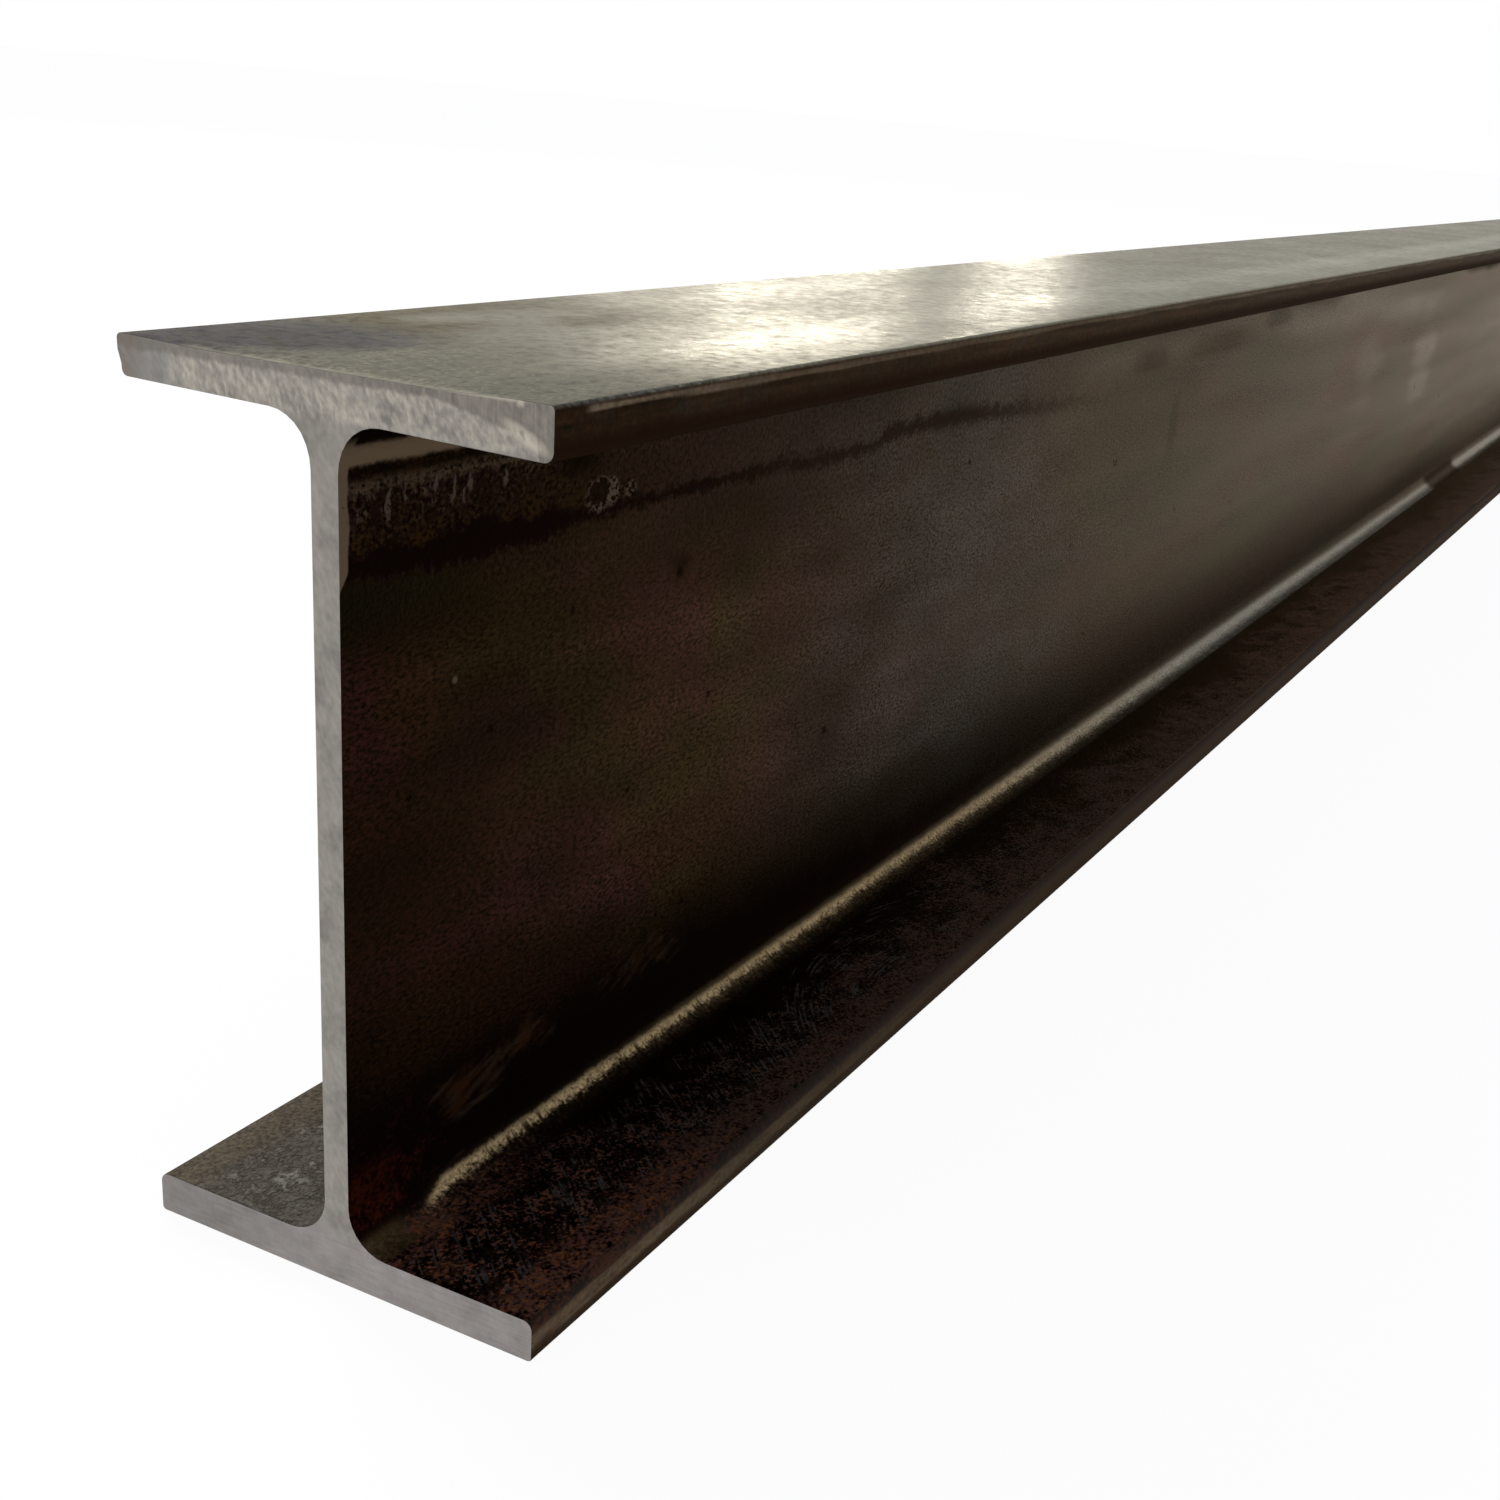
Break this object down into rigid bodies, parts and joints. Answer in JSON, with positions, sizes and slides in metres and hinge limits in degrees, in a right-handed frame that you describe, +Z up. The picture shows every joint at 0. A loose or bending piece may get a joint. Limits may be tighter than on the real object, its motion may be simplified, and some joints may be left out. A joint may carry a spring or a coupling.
{
  "type": "steel i-beam",
  "caption": "Hot-rolled parallel-flange steel I-beam, a cut length with square sawn ends, dark mill scale on the rolled faces and bare steel on the cuts.",
  "frame": {"origin": "underside of the bottom flange, at mid length and mid width", "axes": "+X along the beam away from the pictured end, +Y across the flanges, +Z up through the web"},
  "size_m": [2, 0.073, 0.14],
  "materials": {
    "rolled_steel": "matte"
  },
  "bodies": {
    "root": {"i_beam": "rolled_steel"}
  },
  "joints": []
}
